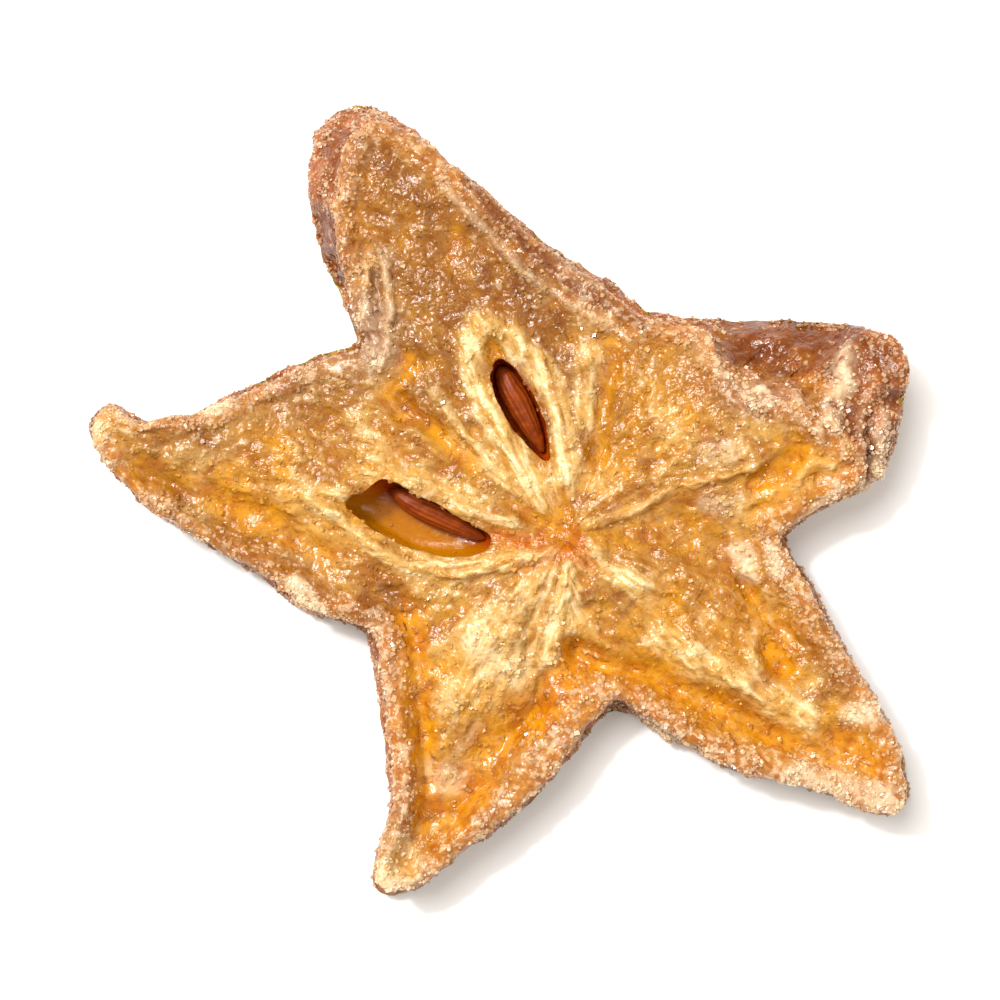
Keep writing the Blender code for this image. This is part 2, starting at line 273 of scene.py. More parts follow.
def linear(hex_colour):
    """An sRGB hex colour as linear red, green and blue."""
    channels = [int(hex_colour[i:i + 2], 16) / 255.0 for i in (0, 2, 4)]
    return tuple(c / 12.92 if c <= 0.04045 else ((c + 0.055) / 1.055) ** 2.4 for c in channels)


def length(name, description, millimetres):
    """A length property, in metres."""
    return FloatProperty(name=name, description=description, default=millimetres * MM, unit="LENGTH")


def colour(name, description, hex_colour):
    """A colour property, in linear red, green and blue."""
    return FloatVectorProperty(
        name=name, description=description, default=linear(hex_colour), subtype="COLOR", min=0.0, max=1.0
    )


class SliceSettings(bpy.types.PropertyGroup):
    """Sizes and colours of the dried flesh and skin."""

    face_height: length("Face height", "Height of the cut face above the floor", 4.7)
    rim_height: length("Rim height", "Height of the rim round the cut face", 5.15)
    rim_width: length("Rim width", "Width of the raised rim", 2.1)
    rim_inset: length("Rim inset", "How far the rim stands in from the edge below", 0.8)
    edge_height: length("Edge height", "Height of the lower edge of the skin", 0.8)
    cell_floor: length("Cell floor", "Height of the floor of the seed cells", 1.9)
    wrinkle: length("Wrinkle", "Depth of the drying wrinkles", 0.14)
    grain: length("Grain", "Width of the grain of the sugared surface", 0.55)
    shaded_flesh: colour("Shaded flesh", "Flesh in the hollows of the surface", "985b12")
    flesh: colour("Flesh", "Dried flesh on the cut face", "a7762e")
    membrane: colour("Membrane", "Pale fibres and membranes", "d4ab65")
    pale_membrane: colour("Pale membrane", "The palest fibres and membranes", "edd6a6")
    amber: colour("Amber", "Clear, sugar-soaked flesh", "cc8a10")
    dark_amber: colour("Dark amber", "Sugar-soaked flesh where it lies deeper", "b5680a")
    core: colour("Core", "Core where the cells meet", "b4620c")
    rim: colour("Rim", "Skin at the rim, seen through sugar", "9c6a46")
    rim_orange: colour("Orange rim", "Skin at the rim where it stayed clear", "b07034")
    skin: colour("Skin", "Dried skin on the sides", "a05a22")
    # Also painted shade: besides browned flesh and skin, this tone darkens creases and hollows.
    russet_and_shade: colour("Russet", "Browned flesh and skin", "6e3402")
    # Also painted shadow and shade: besides duller flesh, this tone darkens the top arm as shadow from
    # above and the hollows of the skin.
    brown_and_shade: colour("Brown", "Duller flesh that dried darker", "78420a")
    lining: colour("Lining", "Clear lining of a seed cell", "b06c02")
    # Painted shade: the lining of a seed cell where its walls lie in shadow.
    cell: colour("Cell", "Lining of a seed cell in its depth", "9c3002")
    # Also painted highlights: the pale specks on the grain and a few bright patches where light glints.
    frost_and_glint: colour("Frost", "White sugar on the surface", "e1c6a2")


class SeedSettings(bpy.types.PropertyGroup):
    """Sizes and colours of the seeds."""

    groove: length("Groove", "Depth of the grooves along the coat", 0.035)
    coat: colour("Coat", "Seed coat", "984208")
    # Also painted shade: besides random mottling, this colour darkens the coat in its grooves.
    dark_coat_and_groove_shade: colour("Dark coat", "Seed coat in its grooves", "702c08")


class SugarSettings(bpy.types.PropertyGroup):
    """Sizes and numbers of the sugar grains."""

    width: length("Grain width", "Width of a middling grain of sugar", 0.22)
    on_face: IntProperty(name="On the face", description="Number of grains on the cut face", default=2600)
    on_rims: IntProperty(
        name="On the rims", description="Number of grains on the rims and skin", default=9500
    )
    below: IntProperty(name="Below", description="Number of grains on the underside", default=9000)


class StageSettings(bpy.types.PropertyGroup):
    """Floor, lights and camera."""

    view_width: length("View width", "Width of the camera's view at the slice", 68.0)
    lens: FloatProperty(name="Lens", description="Focal length of the camera in millimetres", default=100.0)
    room_light: FloatProperty(
        name="Room light", description="Strength of the light from all round", default=0.56
    )
    key_power: FloatProperty(name="Key power", description="Power of the main light in watts", default=3.2)
    fill_power: FloatProperty(
        name="Fill power", description="Power of the second light in watts", default=0.7
    )
    spark_power: FloatProperty(
        name="Spark power", description="Power of the small bright light in watts", default=1.8
    )
    paper: colour("Paper", "Floor and backdrop", "f4f4f4")
    room: colour("Room", "Light from all round", "fff6e8")


def node(tree, kind, links=None, **settings):
    """Adds a node: settings are its properties, and links maps its inputs to values or to sockets."""
    made = tree.nodes.new(kind)
    for name, value in settings.items():
        setattr(made, name, value)
    for name, value in (links or {}).items():
        if isinstance(value, bpy.types.NodeSocket):
            tree.links.new(value, made.inputs[name])
        else:
            made.inputs[name].default_value = value
    return made


# ---------------------------------------------------------------- shape of the slice, in millimetres


def closed_curve(points, count):
    """The smooth closed curve through the points, at a number of evenly spaced places."""
    t = np.arange(8)[None, :, None] / 8
    start = points[:, None, :]
    before = np.roll(points, 1, axis=0)[:, None, :]
    end = np.roll(points, -1, axis=0)[:, None, :]
    after = np.roll(points, -2, axis=0)[:, None, :]
    curve = start + 0.5 * (
        (end - before) * t
        + (2 * before - 5 * start + 4 * end - after) * t**2
        + (3 * start - before - 3 * end + after) * t**3
    )
    curve = curve.reshape(-1, 2)
    closed = np.vstack([curve, curve[:1]])
    along = np.concatenate([[0.0], np.cumsum(np.linalg.norm(np.diff(closed, axis=0), axis=1))])
    wanted = np.linspace(0.0, along[-1], count, endpoint=False)
    return np.stack([np.interp(wanted, along, closed[:, i]) for i in (0, 1)], axis=1)


def open_curve(corners):
    """A smooth curve through the corners of a stroke."""
    corners = np.array(corners, float)
    ends = np.vstack([2 * corners[0] - corners[1], corners, 2 * corners[-1] - corners[-2]])
    t = np.arange(8)[:, None] / 8
    curve = []
    for a, b, c, d in zip(ends, ends[1:], ends[2:], ends[3:]):
        bend = (2 * a - 5 * b + 4 * c - d) * t**2 + (3 * b - a - 3 * c + d) * t**3
        curve.append(b + 0.5 * ((c - a) * t + bend))
    return np.vstack([*curve, corners[-1:]])


def edge_outline():
    """The edge of the CAD slice as seen from above, as evenly spaced points about the core."""
    corners = np.unique(np.round(coordinates(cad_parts["fruit_slice"].data) / MM, 3), axis=0)
    radius = np.hypot(corners[:, 0], corners[:, 1])
    direction = np.round(np.degrees(np.arctan2(corners[:, 1], corners[:, 0])), 1)
    outline = []
    # The CAD slice is made of spokes with many corners, and its cells add directions with few.
    for angle in np.unique(direction):
        spoke = np.flatnonzero(direction == angle)
        if len(spoke) >= 8:
            outline.append(corners[spoke[np.argmax(radius[spoke])]][:2])
    return closed_curve(np.array(outline), SEGMENTS)


def swell(points, places):
    """Smooth bumps in direction about the core, each (degrees, half width, millimetres), at 2-D points."""
    direction = np.degrees(np.arctan2(points[:, 1], points[:, 0]))
    total = np.zeros(len(points))
    for middle, half_width, amount in places:
        away = np.minimum(np.abs((direction - middle + 180.0) % 360.0 - 180.0) / half_width, 1.0)
        total += amount * (1.0 + np.cos(np.pi * away)) / 2.0
    return total


def smoothstep(low, high, value):
    """0 at the low value to 1 at the high one, with soft ends."""
    t = np.clip((value - low) / (high - low), 0.0, 1.0)
    return t * t * (3.0 - 2.0 * t)


def rough(points, wavelength, octaves=2, shift=0.0):
    """Soft noise in about -1 to 1 at 3-D points, with a wavelength in millimetres."""
    return np.array([noise.fractal(p, 1.0, 2.0, octaves) for p in (points / wavelength + shift).tolist()])


def flat(points):
    """2-D points as 3-D points at height 0."""
    return np.column_stack([points, np.zeros(len(points))])


def fibre_place(points):
    """Coordinates in millimetres that run with the fibres: across them, along them and up."""
    radius = np.hypot(points[:, 0], points[:, 1])
    direction = np.degrees(np.arctan2(points[:, 1], points[:, 0]))
    place = np.zeros((len(points), 3))
    for index, (axis, low, high) in enumerate(ARMS):
        turn = (direction - axis + 180.0) % 360.0 - 180.0
        inside = (turn >= low - axis) & (turn <= high - axis)
        across = np.radians(turn) * (radius + FIBRES_MEET)
        along = radius * FIBRE_STRETCH + 7.0 * index
        place[inside] = np.stack([across, along, points[:, 2]], axis=1)[inside]
    return place


def distance_to(points, curve):
    """Distance in plan from each point to the nearest of the points on the curve."""
    tree = kdtree.KDTree(len(curve))
    for index, place in enumerate(curve):
        tree.insert((place[0], place[1], 0.0), index)
    tree.balance()
    return np.array([tree.find((x, y, 0.0))[2] for x, y in points.tolist()])


def stroke_distance(points, curve):
    """Distance in plan from each point to the polyline of a stroke."""
    nearest = np.full(len(points), 1e9)
    for a, b in zip(curve, curve[1:]):
        side = b - a
        t = np.clip(((points - a) @ side) / max(side @ side, 1e-9), 0.0, 1.0)
        nearest = np.minimum(nearest, np.linalg.norm(points - a - t[:, None] * side, axis=1))
    return nearest


def draw(strokes, points, height, tints):
    """Adds the heights and the tints of the strokes at 2-D points."""
    wander = np.stack([rough(flat(points), 2.4, 2, 3.1), rough(flat(points), 2.4, 2, 17.7)], axis=1) * 0.35
    uneven = 1.0 + 0.5 * rough(flat(points), 2.0, 2, 51.0)
    placed = points + wander
    for corners, half_width, raised, tint, strength in strokes:
        curve = open_curve(corners)
        margin = 3.0 * half_width
        inside = ((placed > curve.min(axis=0) - margin) & (placed < curve.max(axis=0) + margin)).all(axis=1)
        near = np.flatnonzero(inside)
        reach = stroke_distance(placed[near], curve) / half_width
        height[near] += raised * uneven[near] * np.exp(-(reach**2))
        tinted = strength * uneven[near] * np.exp(-((0.85 * reach) ** 4))
        tints[tint][near] = np.maximum(tints[tint][near], tinted)


def cut_face(points, sizes, rim_curve):
    """Heights and tints of the cut face at 2-D points."""
    radius = np.hypot(*points.T)
    height = sizes.face_height / MM - swell(points, FACE_SUNK) * smoothstep(3.0, 10.0, radius)
    height += 0.30 * rough(flat(points), 7.0, 2, 40.0)
    tints = {name: np.zeros(len(points)) for name in TINTS}
    draw(FACE_STROKES, points, height, tints)
    inward = distance_to(points, rim_curve)
    width = sizes.rim_width / MM + swell(points, RIM_WIDENED)
    width *= 1.0 + 0.4 * rough(flat(points), 4.0, 2, 63.0)
    crest = sizes.rim_height / MM + swell(points, RIM_RAISED) + 0.15 * rough(flat(points), 3.0, 2, 8.0)
    rise = smoothstep(width, 0.3 * width, inward)
    height += (crest - height) * rise
    height += swell(points, ARM_LIFTED) * smoothstep(5.0, 20.0, radius)
    shoulder = np.clip(1.0 - inward / 0.9, 0.0, 1.0)
    height -= 0.6 * (1.0 - np.sqrt(1.0 - shoulder**2))
    tints["rim"] = smoothstep(width * 1.1, width * 0.35, inward)
    return height, tints


# ---------------------------------------------------------------- modelling


def deselect_all():
    """Deselects every object, because an operator acts on all that is selected."""
    bpy.ops.object.select_all(action="DESELECT")


def keep(piece, name, slot, *replaced):
    """Names a finished piece and ties it to the frame."""
    piece.name = name
    piece.data.name = name
    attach(piece, "root")
    if replaced:
        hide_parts(*replaced)


def coordinates(mesh, kind="co"):
    """A vertex property of the mesh as an array."""
    values = np.empty(len(mesh.vertices) * 3)
    mesh.vertices.foreach_get(kind, values)
    return values.reshape(-1, 3)


def set_coordinates(mesh, values):
    """Moves the vertices of the mesh."""
    mesh.vertices.foreach_set("co", values.reshape(-1).astype(np.float32))
    mesh.update()


def store(mesh, name, values):
    """Keeps one number for each vertex as a named attribute."""
    attribute = mesh.attributes.new(name, "FLOAT", "POINT")
    attribute.data.foreach_set("value", values.astype(np.float32))


def sphere_grid(mesh, segments, rings):
    """The ring from the top and the segment of each vertex of a UV sphere of radius 1."""
    co = coordinates(mesh)
    ring = np.round(np.arccos(np.clip(co[:, 2], -1.0, 1.0)) / np.pi * rings).astype(int)
    segment = np.round(np.degrees(np.arctan2(co[:, 1], co[:, 0])) / 360.0 * segments).astype(int) % segments
    return ring, segment


def blank_slice(outline, rim_curve):
    """A star-shaped plate with a sloping wall: a grid wrapped round, with two of its sides at the core."""
    rings = FACE_RINGS + WALL_RINGS + UNDER_RINGS
    bpy.ops.mesh.primitive_grid_add(x_subdivisions=SEGMENTS, y_subdivisions=rings, size=1.0)
    blank = bpy.context.object
    co = coordinates(blank.data)
    segment = np.round((co[:, 0] + 0.5) * SEGMENTS).astype(int) % SEGMENTS
    ring = np.round((co[:, 1] + 0.5) * rings).astype(int)
    on_face = ring <= FACE_RINGS
    on_wall = (ring > FACE_RINGS) & (ring < FACE_RINGS + WALL_RINGS)
    face_share = 1.0 - (1.0 - np.clip(ring / FACE_RINGS, 0.0, 1.0)) ** 1.15
    wall_share = np.clip((ring - FACE_RINGS) / WALL_RINGS, 0.0, 1.0)
    under_share = 1.0 - np.clip((ring - FACE_RINGS - WALL_RINGS) / UNDER_RINGS, 0.0, 1.0) ** 1.1
    low, high = outline[segment], rim_curve[segment]
    plan = np.where(on_face[:, None], high * face_share[:, None], low * under_share[:, None])
    plan = np.where(on_wall[:, None], high + (low - high) * wall_share[:, None], plan)
    height = np.where(on_face, BLANK_TOP, 0.0)
    height = np.where(on_wall, BLANK_TOP * (1.0 - wall_share), height)
    set_coordinates(blank.data, np.column_stack([plan, height]))
    bpy.ops.object.mode_set(mode="EDIT")
    bpy.ops.mesh.select_all(action="SELECT")
    bpy.ops.mesh.remove_doubles(threshold=0.0001)
    bpy.ops.mesh.normals_make_consistent(inside=False)
    bpy.ops.object.mode_set(mode="OBJECT")
    return blank


def cell_tool(mouth, floor):
    """The hollow of a seed cell, a little wider inside than at its mouth."""
    bpy.ops.mesh.primitive_uv_sphere_add(segments=CELL_SEGMENTS, ring_count=CELL_RINGS, radius=1.0)
    tool = bpy.context.object
    ring, segment = sphere_grid(tool.data, CELL_SEGMENTS, CELL_RINGS)
    outline = closed_curve(np.array(mouth), CELL_SEGMENTS)
    middle = outline.mean(axis=0)
    down = ring / CELL_RINGS
    top = BLANK_TOP
    depth = np.interp(down, (0.0, 0.1, 0.3, 0.9, 1.0), (top + 2.0, top + 2.0, top - 0.1, floor, floor))
    spread = np.interp(down, (0.0, 0.1, 0.3, 0.45, 0.7, 0.9, 1.0), (0.0, 1.0, 1.0, 1.06, 1.02, 0.8, 0.0))
    plan = middle + (outline[segment] - middle) * spread[:, None]
    set_coordinates(tool.data, np.column_stack([plan, depth]))
    return tool


def cut(piece, tool):
    """Cuts the tool from the piece, and removes the tool."""
    deselect_all()
    bpy.context.view_layer.objects.active = piece
    piece.select_set(True)
    boolean = piece.modifiers.new("Cell", "BOOLEAN")
    boolean.operation = "DIFFERENCE"
    boolean.solver = "EXACT"
    boolean.object = tool
    bpy.ops.object.modifier_apply(modifier=boolean.name)
    bpy.data.objects.remove(tool, do_unlink=True)


def sculpt(mesh, sizes, outline, rim_curve):
    """Gives the blank its heights, its wrinkles and its tints."""
    co = coordinates(mesh)
    plan = co[:, :2].copy()
    share = co[:, 2] / BLANK_TOP
    radius = np.maximum(np.hypot(*plan.T), 1e-6)
    turns = np.arctan2(outline[:, 1], outline[:, 0])
    order = np.argsort(turns)
    here = np.arctan2(plan[:, 1], plan[:, 0])
    edge = np.interp(here, turns[order], np.linalg.norm(outline, axis=1)[order], period=2.0 * np.pi)
    rim = np.interp(here, turns[order], np.linalg.norm(rim_curve, axis=1)[order], period=2.0 * np.pi)
    on_wall = (radius > rim + 1e-3) & (share > 1e-4) & (share < 1.0 - 1e-4)
    in_cell = (radius < rim) & (share > 1e-4) & (share < 1.0 - 1e-4)

    face_plan = plan / np.clip(radius / rim, 1.0, None)[:, None]
    top, tints = cut_face(face_plan, sizes, closed_curve(rim_curve[::4], 4 * SEGMENTS))
    out = radius / edge
    bottom = smoothstep(0.5, 0.95, out) * (sizes.edge_height / MM + swell(plan, EDGE_LIFTED))
    bottom += smoothstep(0.45, 0.7, out) * 0.25 * (1.0 + rough(flat(plan), 3.0, 2, 80.0))
    # Where the skin is turned up, its lower edge is blunt and not a knife edge.
    blunt = on_wall * smoothstep(1.5, 4.0, edge - rim)
    height = bottom + (top - bottom) * (share + blunt * (np.sqrt(share) - share))

    # The wall dries hollow between its two edges.
    hollow = np.where(on_wall, np.sin(np.pi * share), 0.0)
    solid = np.column_stack([plan * (1.0 - 0.6 * hollow / radius)[:, None], height])
    set_coordinates(mesh, solid)
    normals = coordinates(mesh, "normal")

    skin_relief = np.zeros(len(plan))
    skin_tints = {name: np.zeros(len(plan)) for name in TINTS}
    draw(SKIN_STROKES, plan, skin_relief, skin_tints)
    wall = on_wall.astype(float)
    depth = sizes.wrinkle / MM
    face = smoothstep(0.97, 1.0, share)
    fibres = fibre_place(solid)
    fibrous = face * smoothstep(3.0, 9.0, radius) * (0.3 + 0.7 * tints["cream"])
    relief = depth * (1.4 * rough(solid, 3.2, 2, 5.0) + 0.8 - 2.4 * np.abs(rough(solid, 1.7, 2, 9.0)))
    relief += depth * 1.1 * fibrous * rough(fibres, 1.0, 2, 11.0)
    relief += depth * 0.35 * rough(solid, 0.8, 2, 33.0)
    creases = np.column_stack([solid[:, :2], solid[:, 2] * 0.4])
    relief += wall * (depth * 1.8 * rough(creases, 1.5, 2, 21.0) + skin_relief)
    hollow_shade = smoothstep(0.02, -0.22, relief)
    resting = smoothstep(0.5, 0.0, share) * smoothstep(0.6, 0.45, out)
    soaked = face * np.clip(tints["amber"], 0.0, 1.0)
    relief *= (1.0 - resting) * (1.0 - 0.8 * in_cell) * (1.0 - 0.5 * soaked)
    solid += normals * relief[:, None]
    solid[:, 2] = np.maximum(solid[:, 2], 0.0)
    for place, half_width, move in DRAWN_SIDEWAYS:
        away = np.linalg.norm(solid[:, :2] - place, axis=1) / half_width
        solid[:, :2] += np.exp(-(away**2))[:, None] * move
    set_coordinates(mesh, solid * MM)

    # Painted shade on the sides of the seed cells that lie in shadow, as a mask.
    painted_cell_shade = {name: np.zeros(len(plan)) for name in TINTS}
    draw(CELL_SHADES, plan, np.zeros(len(plan)), painted_cell_shade)
    cell = in_cell * painted_cell_shade["russet_and_shade"]
    masks = {name: np.where(on_wall, skin_tints[name], tints[name]) for name in TINTS}
    for name in TINTS:
        masks[name] = masks[name] * (1.0 - in_cell)
    # Painted shade in the hollows: low places of the face are tinted amber and those of the skin browner.
    masks["amber"] = np.maximum(masks["amber"], 0.35 * hollow_shade * face * (1.0 - in_cell))
    masks["brown_and_shade"] = np.maximum(masks["brown_and_shade"], 0.24 * hollow_shade * (1.0 - face) * (1.0 - in_cell))
    masks["lining"] = in_cell.astype(float)
    under = smoothstep(0.02, 0.0, share)
    masks["rim"] = np.where(on_wall, smoothstep(0.75, 1.0, share), tints["rim"]) * (1.0 - under)
    masks["skin"] = np.maximum(wall * smoothstep(1.0, 0.8, share), under * smoothstep(0.8, 0.95, out))
    masks["cell"] = cell
    for name in ("cream", "amber", "frost_and_glint"):
        masks[name] = masks[name] * (1.0 - 0.8 * under)
    for name in MASKS:
        store(mesh, name, np.clip(masks[name], 0.0, 1.0))
    vector = mesh.attributes.new("fibre", "FLOAT_VECTOR", "POINT")
    vector.data.foreach_set("vector", fibres.reshape(-1).astype(np.float32))


# ---------------------------------------------------------------- materials


def new_material(name):
    """An empty material: its nodes and its shader."""
    made = bpy.data.materials.new(name)
    made.use_nodes = True
    return made, made.node_tree, made.node_tree.nodes["Principled BSDF"]


def painted(value):
    """A colour property, or a socket, as what a colour input takes."""
    return value if isinstance(value, bpy.types.NodeSocket) else (*value, 1.0)


def mixed(tree, low, high, share, blend="MIX"):
    """Two colours mixed by a share."""
    links = {0: share, 6: painted(low), 7: painted(high)}
    return node(tree, "ShaderNodeMix", links, data_type="RGBA", blend_type=blend).outputs[2]


def ramp(tree, value, low, high):
    """0 at the low value to 1 at the high one."""
    return node(tree, "ShaderNodeMapRange", {"Value": value, "From Min": low, "From Max": high}).outputs[0]


def maths(tree, operation, a, b):
    """Two numbers joined by a maths operation."""
    return node(tree, "ShaderNodeMath", {0: a, 1: b}, operation=operation).outputs[0]


def times(tree, *values):
    """The product of several numbers."""
    result = values[0]
    for value in values[1:]:
        result = maths(tree, "MULTIPLY", result, value)
    return result


def mask(tree, name):
    """One of the masks kept on the mesh."""
    return node(tree, "ShaderNodeAttribute", attribute_name=name).outputs["Fac"]


def millimetres(tree):
    """Places in the piece, in millimetres."""
    place = node(tree, "ShaderNodeTexCoord").outputs["Object"]
    links = {0: place, 1: (1.0 / MM, 1.0 / MM, 1.0 / MM)}
    return node(tree, "ShaderNodeVectorMath", links, operation="MULTIPLY").outputs[0]


def cloud(tree, place, width, detail):
    """Noise with blotches of a width in millimetres."""
    links = {"Vector": place, "Scale": 1.0 / width, "Detail": detail}
    return node(tree, "ShaderNodeTexNoise", links).outputs[0]


def flesh_colour(tree, settings):
    """The colour of sugared flesh with painted glints on its grain and painted shade in its pits, the
    heights of its fibres, blisters and grain, and where it is clear.
    """
    place = millimetres(tree)
    broad = cloud(tree, place, 8.0, 1.0)
    blotch = cloud(tree, place, 2.0, 2.0)
    cloudy = cloud(tree, place, 3.4, 1.0)
    fine = cloud(tree, place, 0.8, 2.0)
    grain = cloud(tree, place, settings.grain / MM, 2.0)
    fibres = node(tree, "ShaderNodeAttribute", attribute_name="fibre").outputs["Vector"]
    streak = cloud(tree, fibres, 1.0, 2.0)

    amber = times(tree, mask(tree, "amber"), ramp(tree, fine, 0.25, 0.45))
    cream = times(tree, mask(tree, "cream"), ramp(tree, streak, 0.25, 0.45))
    frost_and_glint = times(tree, mask(tree, "frost_and_glint"), ramp(tree, fine, 0.3, 0.5))
    rim = times(tree, mask(tree, "rim"), ramp(tree, blotch, 0.25, 0.5))
    rim = times(tree, rim, maths(tree, "SUBTRACT", 1.0, times(tree, mask(tree, "brown_and_shade"), 0.7)))

    uneven = maths(tree, "ADD", times(tree, fine, 0.4), times(tree, blotch, 0.6))
    colour = mixed(tree, settings.shaded_flesh, settings.flesh, ramp(tree, uneven, 0.42, 0.54))
    clear = times(tree, ramp(tree, blotch, 0.5, 0.6), ramp(tree, broad, 0.35, 0.55))
    colour = mixed(tree, colour, settings.amber, times(tree, clear, 0.7))
    colour = mixed(tree, colour, settings.membrane, times(tree, ramp(tree, cloudy, 0.50, 0.62), 0.6))
    colour = mixed(tree, colour, settings.membrane, times(tree, ramp(tree, streak, 0.48, 0.66), 0.35))
    colour = mixed(tree, colour, settings.amber, times(tree, ramp(tree, broad, 0.5, 0.65), 0.5))
    # Painted shadow on the top arm and painted shade in the hollows of the skin, in the duller flesh
    # colour.
    colour = mixed(tree, colour, settings.brown_and_shade, mask(tree, "brown_and_shade"))
    dry_rim = mixed(tree, settings.rim, settings.rim_orange, ramp(tree, broad, 0.38, 0.52))
    colour = mixed(tree, colour, dry_rim, rim)
    colour = mixed(tree, colour, settings.membrane, times(tree, cream, 0.9))
    palest = times(tree, cream, ramp(tree, streak, 0.50, 0.60), 0.8)
    colour = mixed(tree, colour, settings.pale_membrane, palest)
    colour = mixed(tree, colour, settings.core, mask(tree, "core"))
    dry_skin = mixed(tree, settings.skin, settings.russet_and_shade, times(tree, ramp(tree, blotch, 0.42, 0.58), 0.7))
    colour = mixed(tree, colour, dry_skin, mask(tree, "skin"))
    soaked = mixed(tree, settings.dark_amber, settings.amber, ramp(tree, uneven, 0.40, 0.56))
    colour = mixed(tree, colour, soaked, amber)
    # Browned skin, and painted shade in creases and hollows.
    colour = mixed(tree, colour, settings.russet_and_shade, mask(tree, "russet_and_shade"))
    colour = mixed(tree, colour, settings.lining, mask(tree, "lining"))
    # Painted shade on the shadowed sides of the seed cells.
    colour = mixed(tree, colour, settings.cell, mask(tree, "cell"))

    level = maths(tree, "SUBTRACT", 0.58, times(tree, cream, 0.04))
    level = maths(tree, "SUBTRACT", level, times(tree, rim, 0.10))
    level = maths(tree, "SUBTRACT", level, times(tree, frost_and_glint, 0.15))
    level = maths(tree, "ADD", level, times(tree, maths(tree, "MAXIMUM", amber, clear), 0.07))
    level = maths(tree, "ADD", level, times(tree, mask(tree, "lining"), 0.3))
    patch = maths(tree, "MAXIMUM", ramp(tree, cloudy, 0.40, 0.56), rim)
    patch = times(tree, patch, maths(tree, "SUBTRACT", 1.0, times(tree, mask(tree, "brown_and_shade"), 0.45)))
    # Painted highlights and shade on the grain: pale specks where its bump is high, partly sugar and partly
    # painted glints, and a darker tone in its pits as painted shade.
    spark = times(tree, ramp(tree, maths(tree, "SUBTRACT", grain, level), 0.0, 0.10), patch)
    pale = mixed(tree, colour, settings.frost_and_glint, 0.55)
    shade_in_pits = mixed(tree, colour, (0.84, 0.72, 0.55), 1.0, "MULTIPLY")
    raised = maths(tree, "MAXIMUM", ramp(tree, grain, 0.36, 0.48), mask(tree, "lining"))
    colour = mixed(tree, shade_in_pits, colour, raised)
    colour = mixed(tree, colour, pale, spark)
    # White sugar, and the bright patches that are painted highlights.
    colour = mixed(tree, colour, settings.frost_and_glint, times(tree, frost_and_glint, 0.85))
    return colour, streak, fine, grain, maths(tree, "MAXIMUM", amber, mask(tree, "lining"))


def flesh_material(settings):
    """Dried star fruit flesh: a little translucent, and glossy where it is soaked with sugar."""
    made, tree, shader = new_material("Dried star fruit flesh")
    # Dried fruit soaked in syrup: light goes a little way in, and its wet look comes from the syrup.
    colour, streak, fine, grain, clear = flesh_colour(tree, settings)
    tree.links.new(colour, shader.inputs["Base Color"])
    links = {0: mask(tree, "amber"), 2: 0.24, 3: 0.14}
    gloss = node(tree, "ShaderNodeMix", links, data_type="FLOAT").outputs[0]
    links = {0: mask(tree, "frost_and_glint"), 2: gloss, 3: 0.4}
    dull = node(tree, "ShaderNodeMix", links, data_type="FLOAT").outputs[0]
    tree.links.new(dull, shader.inputs["Roughness"])
    shader.inputs["IOR"].default_value = 1.46
    shader.inputs["Specular IOR Level"].default_value = 0.5
    shader.inputs["Subsurface Weight"].default_value = 0.4
    shader.inputs["Subsurface Radius"].default_value = (1.0, 0.7, 0.4)
    shader.inputs["Subsurface Scale"].default_value = 0.0006
    rough_part = maths(tree, "SUBTRACT", 1.0, times(tree, clear, 0.75))
    grain = times(tree, grain, rough_part)
    bump = node(tree, "ShaderNodeBump", {"Height": grain, "Strength": 0.5, "Distance": 0.0003}).outputs[0]
    links = {"Height": times(tree, streak, rough_part), "Strength": 0.4, "Distance": 0.0004, "Normal": bump}
    bump = node(tree, "ShaderNodeBump", links).outputs[0]
    links = {"Height": times(tree, fine, rough_part), "Strength": 0.42, "Distance": 0.0008, "Normal": bump}
    bump = node(tree, "ShaderNodeBump", links).outputs[0]
    tree.links.new(bump, shader.inputs["Normal"])
    return made


def seed_material(settings):
    """The dry, thin coat of a star fruit seed: reddish umber and a little glossy, grooved along its length.
    """
    made, tree, shader = new_material("Dried seed coat")
    # A papery coat that shines softly; its colour is mottled at random, and it is darker in its grooves as
    # painted shade.
    fine = cloud(tree, millimetres(tree), 0.7, 4.0)
    colour = mixed(tree, settings.dark_coat_and_groove_shade, settings.coat, ramp(tree, fine, 0.3, 0.65))
    colour = mixed(tree, colour, settings.dark_coat_and_groove_shade, times(tree, mask(tree, "groove"), 0.7))
    tree.links.new(colour, shader.inputs["Base Color"])
    shader.inputs["Roughness"].default_value = 0.42
    shader.inputs["Specular IOR Level"].default_value = 0.2
    bump = node(tree, "ShaderNodeBump", {"Height": fine, "Strength": 0.5, "Distance": 0.0002}).outputs[0]
    tree.links.new(bump, shader.inputs["Normal"])
    return made


def sugar_material(settings):
    """Small clear crystals of sugar, which take the colour of the flesh under them where they are thin."""
    made, tree, shader = new_material("Crystallised sugar")
    # Sucrose: clear, hard and smooth, so its facets flash white as the slice turns.
    colour = flesh_colour(tree, settings)[0]
    edge = maths(tree, "MAXIMUM", mask(tree, "rim"), mask(tree, "skin"))
    pale = mixed(tree, settings.membrane, settings.frost_and_glint, edge)
    colour = mixed(tree, colour, pale, mask(tree, "tint"))
    tree.links.new(colour, shader.inputs["Base Color"])
    shader.inputs["Roughness"].default_value = 0.12
    shader.inputs["IOR"].default_value = 1.54
    shader.inputs["Specular IOR Level"].default_value = 0.5
    return made


# ---------------------------------------------------------------- pieces


